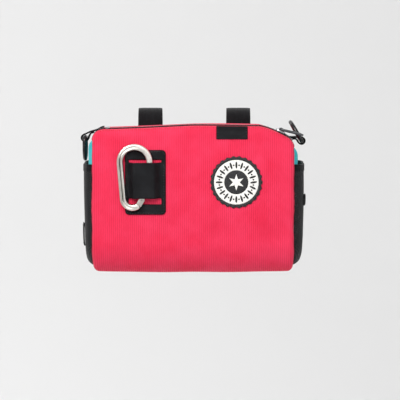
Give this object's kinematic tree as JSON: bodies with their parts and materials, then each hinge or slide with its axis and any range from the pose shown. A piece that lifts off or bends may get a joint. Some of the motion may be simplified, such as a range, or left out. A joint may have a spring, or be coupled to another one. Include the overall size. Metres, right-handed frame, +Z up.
{
  "type": "bicycle handlebar bag",
  "caption": "Soft boxy handlebar bag with a top zip, stretch end pockets, a slotted lash tab holding a snap hook, and webbing loops that go around the bar.",
  "frame": {"origin": "on the handlebar's axis, midway along the bag", "axes": "+X along the handlebar to the right as seen from in front of the bag, -Y forwards out of the bag's front, +Z up"},
  "size_m": [0.2306, 0.1437, 0.1661],
  "materials": {
    "red_cloth": "ribbed coated nylon, matt",
    "teal_cloth": "coated nylon, matt",
    "black_cloth": "woven zip tape with coil teeth",
    "stretch_cloth": "knitted stretch mesh",
    "webbing": "ribbed nylon webbing",
    "laminate": "cut laminate sheet, matt",
    "embroidery": "satin-stitched badge, black and white",
    "black_plastic": "moulded acetal",
    "satin_aluminium": "satin tumbled",
    "steel": "plated"
  },
  "bodies": {
    "bag": {"wrap_panel": "red_cloth", "top_panel": "red_cloth", "zip_tape": "black_cloth", "zip_slider": "steel", "zip_pull": "black_plastic", "side_panel_left": "teal_cloth", "side_panel_right": "teal_cloth", "side_pocket_left": "stretch_cloth", "side_pocket_right": "stretch_cloth", "side_tab_left": "webbing", "side_tab_right": "webbing", "lash_tab": "laminate", "carabiner_body": "satin_aluminium", "patch": "embroidery", "label": "laminate", "bar_strap_left": "webbing", "bar_strap_right": "webbing", "ring_tab_left": "webbing", "ring_tab_right": "webbing", "d_ring_left": "black_plastic", "d_ring_right": "black_plastic"},
    "gate": {"carabiner_gate": "satin_aluminium", "gate_pin": "steel"}
  },
  "joints": [
    {"name": "gate_hinge", "type": "hinge", "parent": "bag", "child": "gate", "pos_m": [-0.05111, -0.1195, -0.06848], "axis": [0, -1, 0], "range_deg": [0, 17], "stiffness_Nm_per_rad": 0.05, "springref_deg": -28.65}
  ]
}
